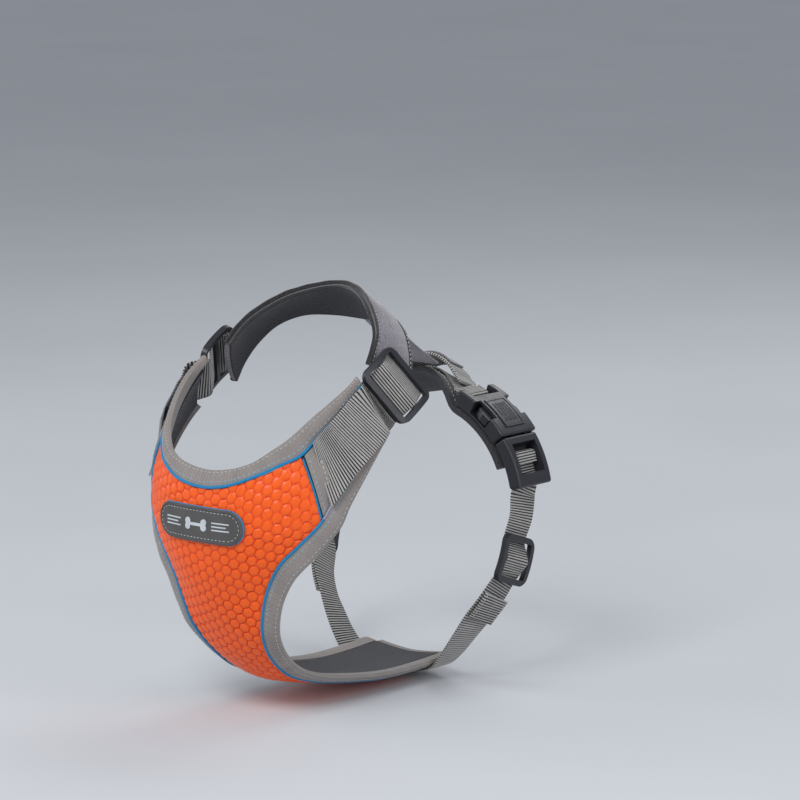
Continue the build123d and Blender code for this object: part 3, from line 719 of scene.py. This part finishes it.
def binding(name, seam, edge, replaced, flip):
    """Ribbed tape folded over a panel's edge, with two lines of stitches."""
    grid = across(turned(seam, flip), turned(edge, flip), 11, bulge=0.5, trim=(1.2, 0.0))
    s = np.linspace(0, 1, 11)[None, :]
    ribs = rib_wave(run_of(grid[:, 5]), 0.13)[:, None]
    top = 0.75 - 1.5 * s**4 + ribs + soft_noise(grid, 30.0, 5) * 0.2
    plate(name, grid, top, -(5.4 - 2.3 * s**3), GREY_TAPE, replaced, "grosgrain")
    n = out(grid)
    near, far = grid[:, 2] + n[:, 2] * 0.85, grid[:, 8] + n[:, 8] * 0.35
    stitches(name + ".stitch", near, n[:, 2], THREAD_BLUE, 2.6, 1.3, 0.7, 0.3)
    stitches(name + ".stitch_low", far, n[:, 8], THREAD_PALE, 2.2, 1.6, 0.45, 0.25)


def neck_edge():
    seam, edge = both_sides(NECK_SEAM), both_sides(NECK_EDGE)
    at = steps(edge, 0.5, BINDING_END, BINDING_END)
    binding("neck_tape", through(seam, at), through(edge, at), ["neck_binding"], False)
    at = steps(seam, 1.6, PIPING_END, PIPING_END)
    bead("neck_bead", through(seam, at), through(edge, at), PIPE, BEAD_LIFT, BLUE,
         ["neck_piping"])


def armhole(side, flip):
    """An armhole's binding and piping: blue on the chest, lilac on the arm."""
    at = steps(ARMHOLE_OUTSIDE, 0.5, 0.0, BINDING_END)
    binding("armhole_tape_" + side, through(ARMHOLE_SEAM, at), through(ARMHOLE_OUTSIDE, at),
            ["armhole_binding_" + side], flip)
    at = steps(ARMHOLE_SEAM, 1.6, 2.0, PIPING_END)
    line = turned(through(ARMHOLE_SEAM, at), flip)
    beside = turned(through(ARMHOLE_OUTSIDE, at), flip)
    split = int(len(at) * LILAC_FROM)
    bead("armhole_bead_" + side, line[:split], beside[:split], PIPE, BEAD_LIFT, BLUE,
         ["armhole_piping_" + side])
    bead("arm_bead_" + side, line[split - 1:], beside[split - 1:], PIPE * 0.9, BEAD_LIFT,
         LILAC, [])


def cross_seam(side, flip):
    """The piping between chest and arm, and the folded allowance behind it."""
    lean = turned(CROSS_LEAN, flip)
    line = turned(through(CHEST_SIDE[:3], np.linspace(0.12, 1.88, 24)), flip)
    bead("cross_bead_" + side, line, line + lean, PIPE, BEAD_LIFT, BLUE,
         ["cross_piping_" + side])
    line = turned(through(CHEST_SIDE[:3], np.linspace(0.0, 2.0, 24)), flip)
    bead("cross_allowance_" + side, line, line + lean, 2.3, -2.9, BLACK_TAPE, [])


neck_edge()
for side, flip in SIDES:
    armhole(side, flip)
    cross_seam(side, flip)

# ---- shoulder arms ----------------------------------------
ARM_BULGE = 2.6
ARM_STEP = 19.0                 # mean distance between the arm's points


def arm_grid(rows, columns, start, end=0.0, trim=(SEAM, SEAM), flip=False):
    at = np.linspace(start / ARM_STEP, 4 - end / ARM_STEP, rows)
    return across(turned(through(NECK_SEAM[4:], at), flip), turned(through(ARM_SEAM, at), flip),
                  columns, bulge=ARM_BULGE, trim=trim)


SLIDER_UP = unit(np.cross(SLIDER_ACROSS, SLIDER_ALONG))
SLIDER_UP = SLIDER_UP if SLIDER_UP[0] > 0 else -SLIDER_UP
WEB_ROWS = [3, 8, 13, 19, 24]   # the rows of the arm that the webbing lies over
OVER_BAR = ((-19.5, -2.6), (-14.5, -2.5), (-7.5, 1.3), (0, 4.7), (7.5, 1.3), (15.5, -2.4))


def shoulder_route():
    """The webbing's path up the arm and over the slider's bar, and its sideways directions."""
    arm = arm_grid(25, 9, start=1.7, end=11.0, trim=(1.7, 1.7))
    lift = np.interp(np.arange(25), [7, 13, 19, 24], [0.35, 0.7, 1.4, 2.0])[:, None]
    middle = arm[:, 4] + out(arm)[:, 4] * (lift + WEB / 2)
    row_way = unit(arm[:, 8] - arm[:, 0])
    path = [middle[k] for k in WEB_ROWS]
    path += [SLIDER_AT + SLIDER_ALONG * a + SLIDER_UP * h for a, h in OVER_BAR]
    return path, [row_way[k] for k in WEB_ROWS] + [SLIDER_ACROSS] * len(OVER_BAR)


def arm_panel(side, flip):
    """The arm's mesh face and lining, and the ribbed band across its lower end."""
    grid = arm_grid(120, 41, start=1.2, end=9.0, trim=(1.2, 1.2), flip=flip)
    puff = soft_noise(grid, 14.0, 8) * 0.35
    plate("arm_mesh_" + side, grid, puff, -2.4, SLATE, ["arm_panel_" + side], "slate_mesh")
    plate("arm_inner_" + side, grid[::3, ::3], -2.5, -5.2, LINING,
          ["arm_lining_" + side], "air_mesh")
    tape = arm_grid(25, 41, start=1.9, trim=(2.6, 2.6), flip=flip)
    share = np.linspace(0, 1, 24)[:, None, None]
    band = tape[0][None] * (1 - share) + tape[4][None] * share
    ribs = rib_wave(run_of(band[0]), 0.13)[None, :]
    plate("cross_band_" + side, band, 2.3 + ribs, 1.0, GREY_TAPE,
          ["cross_tape_" + side], "grosgrain")
    n = out(band)
    for tag, row, thread in (("a", 4, THREAD_BLUE), ("b", 19, THREAD_PALE)):
        stitches("cross_stitch_%s%s" % (side, tag), band[row] + n[row] * 2.45, n[row],
                 thread, 2.6, 1.3, 0.6, 0.3)


def shoulder_strap(side, flip, path, sideways):
    """The wide webbing, up the arm and over the slider's bar."""
    bulge = [1.7, 1.5, 1.0, 0.5] + [0] * 7
    strap, rows = webbing("shoulder_strap_" + side, path, sideways, SHOULDER_WIDE, WEB,
                          ["shoulder_webbing_" + side], None, bulge=bulge, flip=flip, skew=30.0)
    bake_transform(strap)
    stitch_row("shoulder_bar_tack_" + side, rows, 33.0, 34.0, 0.85, THREAD_PALE, 2, 1.6)
    edge_stitches("shoulder_edge_" + side, rows, 17.2, 0.85, BLACK_TAPE, 12.0, 24.0)


shoulder_path, shoulder_side = shoulder_route()
for side, flip in SIDES:
    arm_panel(side, flip)
    shoulder_strap(side, flip, shoulder_path, shoulder_side)


# ---- yoke and spine ---------------------------------------
def folded_edge(name, line, away, replaced):
    """Woven tape folded round a padded edge."""
    grid = across(line, line + unit(away - line) * 2.6, 7, bulge=0.5)
    s = np.linspace(-1, 1, 7)[None, :]
    ribs = rib_wave(run_of(line), 0.12, 1.3)[:, None]
    plate(name, grid, 1.1 - 0.7 * s**2 + ribs, -4.9 + 0.6 * s**2, BLACK_TAPE,
          replaced, "black_tape")
    n = out(grid)
    stitches(name + ".stitch", grid[:, 4] + n[:, 4] * 1.15, n[:, 4], THREAD_PALE,
             1.9, 1.7, 0.5, 0.25)


def yoke():
    """The crowned felt pad round the back of the neck."""
    neck, outer = both_sides(YOKE_NECK[::-1]), both_sides(YOKE_OUTER[::-1])
    at = steps(neck, 1.2)
    neck_line, outer_line = through(neck, at), through(outer, at)
    grid = across(neck_line, outer_line, 61, bulge=2.0, trim=(1.6, 1.6))
    s = np.linspace(-1, 1, 61)[None, :]
    puff = 1.0 * (1 - s**6) + soft_noise(grid, 28.0, 11) * 0.4 * (1 - s**4)
    pad = plate("yoke_cushion", grid, puff, -3.1, FELT, ["yoke_pad"], "grey_felt")
    plate("yoke_inner", grid[::3, ::4], -3.2, -4.8, LINING, ["yoke_lining"], "air_mesh")
    folded_edge("yoke_edge_neck", neck_line, outer_line, ["yoke_tape_neck"])
    folded_edge("yoke_edge_outer", outer_line, neck_line, ["yoke_tape_outer"])


def spine():
    rows = webbing("spine_strap", SPINE, (1, 0, 0), GIRTH_WIDE, 2.2,
                   ["spine_webbing"], spacing=0.9, slot="grey_felt", material=FELT,
                   depth=0.05)[1]
    edge_stitches("spine_edge", rows, 10.6, 1.1, THREAD_PALE, 6.0, 2.0)
    stitch_row("spine_tack", rows, 4.0, 21.0, 1.1, BLACK_TAPE, 2, 2.2)


yoke()
spine()

# ---- back band, handle and ring loop ----------------------
PAD_HALF = 20.0                 # half the back pad's width
FEMALE_BAR = (70.6, 5.2)        # the webbing bar of the buckle's socket: angle and height
BAR_TURN = 3.3                  # radius of the webbing round that bar
ACROSS_HANDLE = (0, 0.9, -0.436)


def band_lines():
    """The back band's whole middle line, and its sideways direction at each point."""
    half = np.concatenate([np.array(BACK_RING, dtype=float), on_arc([64, 56, 48, 40, 32, 24], 0)])
    lean = [(0, 0.88, -0.475), (0, 0.91, -0.415), (0, 0.975, -0.22), (0, 1, -0.03)]
    lean = np.array(lean + [(0, 1, 0)] * 6, dtype=float)
    return both_sides(half), np.concatenate([lean[:0:-1], lean])


def band_grid(spacing, columns):
    line, lean = band_lines()
    at = steps(line, spacing)
    middle, sideways = through(line, at), unit(through(lean, at))
    grid = across(middle - sideways * PAD_HALF, middle + sideways * PAD_HALF, columns)
    return grid, middle, sideways


def back_pad():
    grid = band_grid(1.2, 31)[0]
    s = np.linspace(-1, 1, 31)[None, :]
    made = plate("back_cushion", grid, -0.3 - 0.9 * s**8 + soft_noise(grid, 16.0, 4) * 0.1,
                 -3.5, BLACK_TAPE, ["back_pad"], "black_tape")
    plate("back_inner", grid[::3, ::3], -3.6, -5.0, LINING, ["back_pad_lining"], "air_mesh")
    n = out(grid)
    for tag, column in (("front", 3), ("rear", 27)):
        stitches("back_edge_" + tag, grid[:, column] - n[:, column] * 0.25, n[:, column],
                 THREAD_PALE, 2.2, 1.5, 0.5, 0.28)


def back_strap():
    """Webbing over the pad, turned back round both sockets' bars."""
    grid, middle, sideways = band_grid(5.0, 9)
    free = np.abs(middle[:, 0]) < 34.0
    flat = (middle + out(grid)[:, 4] * (0.7 + WEB / 2))[free]
    angle, height = FEMALE_BAR
    bar = on_arc([angle], height)[0]
    up = unit(on_arc([angle], 1)[0] - on_arc([angle], 0)[0])
    onward = unit(np.cross((0, 1, 0), up))
    turn = [bar + BAR_TURN * (up * np.sin(a) + onward * np.cos(a))
            for a in np.radians([-75, -25, 25, 75, 120])]
    end = np.array(turn + [turn[-1] - onward * 9 - up * 0.6])
    path = np.concatenate([mirrored(end)[::-1], flat, end])
    straight = [(0, 1, 0)] * len(end)
    webbing("back_strap", path, np.concatenate([straight, sideways[free], straight]),
            GIRTH_WIDE, WEB, ["back_webbing"])


def handle():
    path = both_sides(HANDLE[::-1])
    rows = webbing("handle_strap", path, ACROSS_HANDLE, GIRTH_WIDE, 2.2, ["handle_webbing"])[1]
    edge_stitches("handle_edge", rows, 10.8, 1.15, THREAD_PALE, 3.0, 3.0)
    grip = through(path, steps(path, 0.9, 17.0, 17.0)) + np.array([0, 0.1, 0.2]) * 11.5
    webbing("handle_pad", grip, ACROSS_HANDLE, 19.0, 1.5, ["handle_grip"],
            spacing=0.6, slot="grey_felt", material=FELT, depth=0.04)


def ring_loop():
    """The short webbing loop that holds the ring's straight bar."""
    at = np.array([0.0, 69.0, 92.4])
    along, up = unit((0, 0.88, -0.475)), unit((0, 0.475, 0.88))
    path = [at - along * d + up * h for d, h in ((12.5, -1.5), (9, -1.2), (5, 0.6))]
    path += [at + 2.95 * (up * np.sin(a) + along * np.cos(a))
             for a in np.radians([95, 50, 0, -50, -95])]
    path += [at - along * 5 - up * 2.8]
    rows = webbing("ring_loop", path, (1, 0, 0), 22.0, 1.3, ["ring_keeper"])[1]
    stitch_row("ring_loop_tack", rows, 4.0, 19.0, 0.75, THREAD_PALE, 2, 2.0)


back_pad()
back_strap()
handle()
ring_loop()

# ---- girth straps -----------------------------------------
MALE_BAR = (27.5, 4.9)          # the webbing bar of the buckle's plug: angle and height
GIRTH_ALONG, GIRTH_UP = unit((-0.05, -0.34, -1.0)), unit((1.0, 0.0, -0.05))
OVER_GIRTH_BAR = ((-15, -2.5), (-7.5, 1.3), (0, 4.8), (7.5, 1.3), (15, -2.5))
GIRTH_SIDE = np.array([(0, 1, 0)] * 8 + [(0.1, 0.97, -0.15), (0.05, 0.95, -0.28)] +
                      [(0, 0.947, -0.322)] * 5 + [(0.1, 0.96, -0.27), (0.2, 0.96, -0.2)] +
                      [(0.15, 0.98, -0.1), (0.1, 0.99, -0.03)] + [(0, 1, 0)] * 4)


def girth_route():
    """From the fold round the plug's bar, over the slider's bar, to the belly."""
    angle, height = MALE_BAR
    bar = on_arc([angle], height)[0]
    up = unit(on_arc([angle], 1)[0] - on_arc([angle], 0)[0])
    onward = unit(np.cross(up, (0, 1, 0)))
    onward = onward if onward[2] > 0 else -onward
    turn = [bar + 2.9 * (up * np.sin(a) + onward * np.cos(a))
            for a in np.radians([-70, -20, 30, 80, 115])]
    line = np.array(GIRTH, dtype=float)
    path = [bar + up * 1.5 - onward * 6.5] + turn[::-1]
    path += [on_arc([19], 2.1)[0], on_arc([12], 1.5)[0], line[0], line[1]]
    path += [GIRTH_SLIDER_AT + GIRTH_ALONG * a + GIRTH_UP * h for a, h in OVER_GIRTH_BAR]
    return path + list(line[5:])


def tail_route():
    """The strap's sewn end, lying on the strap below the slider."""
    line = np.array(GIRTH, dtype=float)
    path = [line[k] + unit(line[k] * np.array([1, 0, 1])) * h
            for k, h in ((4, 2.9), (5, 3.1), (6, 3.0))]
    return through(path, np.linspace(0.75, 2.0, 24))


def girth_strap(side, flip):
    """A girth strap and its sewn end, from the belly to the plug."""
    before = set(bpy.data.objects)
    webbing("girth_belt_" + side, girth_route(), GIRTH_SIDE, GIRTH_WIDE, WEB,
            ["girth_strap_" + side], None, flip=flip)
    rows = webbing("girth_end_" + side, tail_route(), (0.15, 0.96, -0.22), GIRTH_WIDE, 2.5,
                   ["girth_tail_" + side], None, flip=flip)[1]
    edge_stitches("girth_end_edge_" + side, rows, 10.9, 1.3, THREAD_PALE, body=None)
    stitch_row("girth_end_tack_" + side, rows, 12.0, 22.0, 1.3, THREAD_PALE, 2, 2.0, None)
    for obj in sorted(set(bpy.data.objects) - before, key=lambda o: o.name):
        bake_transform(obj)


for side, flip in SIDES:
    girth_strap(side, flip)
rear_band()

# ---- chest label ------------------------------------------
LABEL_LONG, LABEL_HIGH = 39.0, 12.5     # half its length and half its height
LABEL_TOP = 2.35                # height of its sunk face above the quilt's base
# sections from the edge to the middle: inset along, inset up and down, height
LABEL_PROFILE = [(0.4, 0.4, 0.3), (0, 0, 0.5), (0, 0, 2.4), (0.5, 0.5, 2.9), (1.6, 1.6, 2.9),
                 (2, 2, LABEL_TOP), (9, 6, LABEL_TOP), (17, 9.5, LABEL_TOP),
                 (25, 11.7, LABEL_TOP)]
# a round bead of six sections on the label's edge: outset and height
EDGE_BEAD = [(0.3, 0.9), (0.3, 1.7), (-0.1, 2.2), (-0.5, 1.7), (-0.5, 0.9), (-0.1, 0.4)]
CHEST_FINE = chest_grid(160, 161)[:80, 80:]


def chest_at(x, z):
    """The point of the chest's surface at a given X and Z."""
    rows = [(np.interp(abs(x), r[:, 0], r[:, 1]), np.interp(abs(x), r[:, 0], r[:, 2]))
            for r in CHEST_FINE]
    y, height = np.array(rows[::-1]).T
    return np.array([x, np.interp(z, height, y), z])


def before_chest(x, z, height):
    return chest_at(x, z) - np.array([0, height, 0])


def stadium(half_long, half_high):
    """Points round a stadium outline, (x, z) about the label's middle."""
    a = np.linspace(-np.pi / 2, np.pi / 2, 24)
    reach = half_long - half_high
    flat = np.linspace(reach, -reach, 26)[1:-1]
    x = np.concatenate([reach + half_high * np.cos(a), flat, -reach - half_high * np.cos(a),
                        -flat])
    level = np.full(len(flat), half_high)
    z = np.concatenate([half_high * np.sin(a), level, -half_high * np.sin(a), -level])
    return x, z


def label_ring(half_long, half_high, height):
    x, z = stadium(half_long, half_high)
    return np.array([before_chest(p, LABEL_Z + q, height) for p, q in zip(x, z)])


def ring_mesh(name, sections, material):
    """A closed band: sections round its thickness, each a ring of points."""
    around, count = sections.shape[:2]
    verts = sections.reshape(-1, 3)
    faces = [(i * count + k, i * count + (k + 1) % count,
              (i + 1) % around * count + (k + 1) % count, (i + 1) % around * count + k)
             for i in range(around) for k in range(count)]
    return make(name, verts, faces, verts[:, [0, 2]], material, [])


def label_plate():
    loops = np.array([label_ring(LABEL_LONG - a, LABEL_HIGH - b, h)
                      for a, b, h in LABEL_PROFILE])
    tube("label_plate", loops, loops[:, :, [0, 2]], LABEL, ["chest_label"],
         sharp=0.6)
    edge = np.array([label_ring(LABEL_LONG + a, LABEL_HIGH + a, h) for a, h in EDGE_BEAD])
    ring_mesh("label_edge", edge, BLUE)
    line = label_ring(LABEL_LONG - 3, LABEL_HIGH - 3, LABEL_TOP + 0.1)
    line = np.concatenate([line, line[:2]])
    stitches("label_stitch", line, np.broadcast_to([0.0, -1.0, 0.0], line.shape),
             THREAD_PALE, 1.9, 1.3, 0.5, 0.3)


def bone_outline():
    """A plain bone: four round knobs, joined by a bar. Angles are each knob's free arc."""
    knobs = ((1, 1, -40, 200), (-1, 1, -20, 220), (-1, -1, 140, 380), (1, -1, 160, 400))
    return np.array([(7.4 * sx + 2.4 * np.cos(a), 1.9 * sz + 2.4 * np.sin(a))
                     for sx, sz, first, last in knobs
                     for a in np.radians(np.linspace(first, last, 14))])


def emblem():
    """A generic bone with plain bars on both sides, in place of any mark or wording."""
    outline = bone_outline()
    loops = np.array([[before_chest(x * k, LABEL_Z + z * k, h) for x, z in outline]
                      for k, h in ((1.0, 2.2), (1.0, 2.75), (0.96, 2.95))])
    tube("emblem_bone", loops, loops[:, :, [0, 2]], PALE, ["label_emblem"],
         sharp=0.5)
    for tag, x0, x1 in (("left", -29.0, -14.5), ("right", 14.5, 29.0)):
        for k, (z, shorter) in enumerate(((34.0, 0), (31.5, 2.5), (29.0, 0))):
            line = np.array([before_chest(x, z, 2.4) for x in np.linspace(x0, x1 - shorter, 18)])
            loops = round_bar(line, np.array([0, -1.0, 0]), np.array([0, 0, 1.0]), 0.35, 0.55, 8)[0]
            tube("label_bar_%s%d" % (tag, k), loops, loops[:, :, [0, 2]], PALE, [])


label_plate()
emblem()

# ---- hardware ---------------------------------------------
MOULDED = ("buckle", "prong", "shoulder_slider", "girth_slider")


def finish_hardware():
    """The CAD's own hard parts keep their shapes and get their materials."""
    for key, obj in frame["nodes"].items():
        if key.startswith(MOULDED) or key == "d_ring":
            obj.data.materials.clear()
            obj.data.materials.append(STEEL if key == "d_ring" else PLASTIC)


def buckle_ribs(side, flip):
    """Plain raised ribs on a buckle's plate, in place of any wording."""
    angles = np.linspace(45.5, 56.5, 16)
    up = turned(unit(on_arc(angles, 14) - on_arc(angles, 13)), flip)
    for k, w in enumerate((-6.0, -3.0, 0.0, 3.0, 6.0)):
        line = turned(on_arc(angles, 13.3) + np.array([0, w, 0]), flip)
        loops, uvs = round_bar(line, np.array([0, 1.0, 0]), up[:, None], 0.7, 0.45, 8)
        tube("buckle_rib_%s%d" % (side, k), loops, uvs, PLASTIC, [])


finish_hardware()
for side, flip in SIDES:
    buckle_ribs(side, flip)

# ---- floor, light and camera, in metres -------------------
FLOOR_REACH, FLOOR_GAP = 8.0, 0.004
MIDDLE = (0.0, -0.1, 0.03)      # what the front lights aim at
LAMPS = [("key_light", (0.3, -1.6, 1.5), MIDDLE, 22.0, 0.9),
         ("fill_light", (1.8, -0.2, 0.8), MIDDLE, 9.0, 1.2),
         ("left_light", (-1.7, -0.9, 0.8), MIDDLE, 8.0, 1.2),
         ("rim_light", (-0.2, 1.5, 1.5), (0.0, 0.0, 0.05), 10.0, 1.2)]


def studio_floor():
    made, tree, bsdf = shader("studio_paper")
    tone = ramp(tree, noise(tree, 3.0), [(0.3, (0.60, 0.62, 0.65)), (0.7, (0.63, 0.65, 0.68))])
    tree.links.new(tone, bsdf.inputs["Base Color"])
    set_surface(bsdf, 0.9)
    mesh = bpy.data.meshes.new("studio_floor")
    far, floor = FLOOR_REACH, cad_box[0][2] - FLOOR_GAP
    corners = [(-far, -far, floor), (far, -far, floor), (far, far, floor), (-far, far, floor)]
    mesh.from_pydata(corners, [], [(0, 1, 2, 3)])
    mesh.materials.append(made)
    obj = bpy.data.objects.new("studio_floor", mesh)
    bpy.context.scene.collection.objects.link(obj)


def lamp(name, place, target, power, size):
    data = bpy.data.lights.new(name, "AREA")
    data.energy, data.size = power, size
    obj = bpy.data.objects.new(name, data)
    obj.location = place
    aim = Vector(target) - Vector(place)
    obj.rotation_euler = aim.to_track_quat("-Z", "Y").to_euler()
    bpy.context.scene.collection.objects.link(obj)


def sky():
    world = bpy.data.worlds.new("studio")
    bpy.context.scene.world = world
    world.use_nodes = True
    colour, strength = world.node_tree.nodes["Background"].inputs[:2]
    colour.default_value = (0.72, 0.76, 0.82, 1)
    strength.default_value = 0.5
    bpy.context.scene.view_settings.view_transform = "Standard"


def place_camera():
    """A long lens from the wearer's front left, a little above."""
    right, up = np.array([0.766, 0.643, 0.0]), np.array([-0.112, 0.133, 0.985])
    back = np.cross(right, up)
    eye = np.array([0.0964, -0.1154, 0.1157]) + back / np.linalg.norm(back) * 3.111
    camera = bpy.data.cameras.new("camera")
    camera.lens, camera.sensor_width = 200.0, 36.0
    view = bpy.data.objects.new("camera", camera)
    view.matrix_world = Matrix([[right[k], up[k], back[k], eye[k]] for k in range(3)]
                               + [[0, 0, 0, 1]])
    bpy.context.scene.collection.objects.link(view)
    bpy.context.scene.camera = view


studio_floor()
for settings in LAMPS:
    lamp(*settings)
sky()
place_camera()
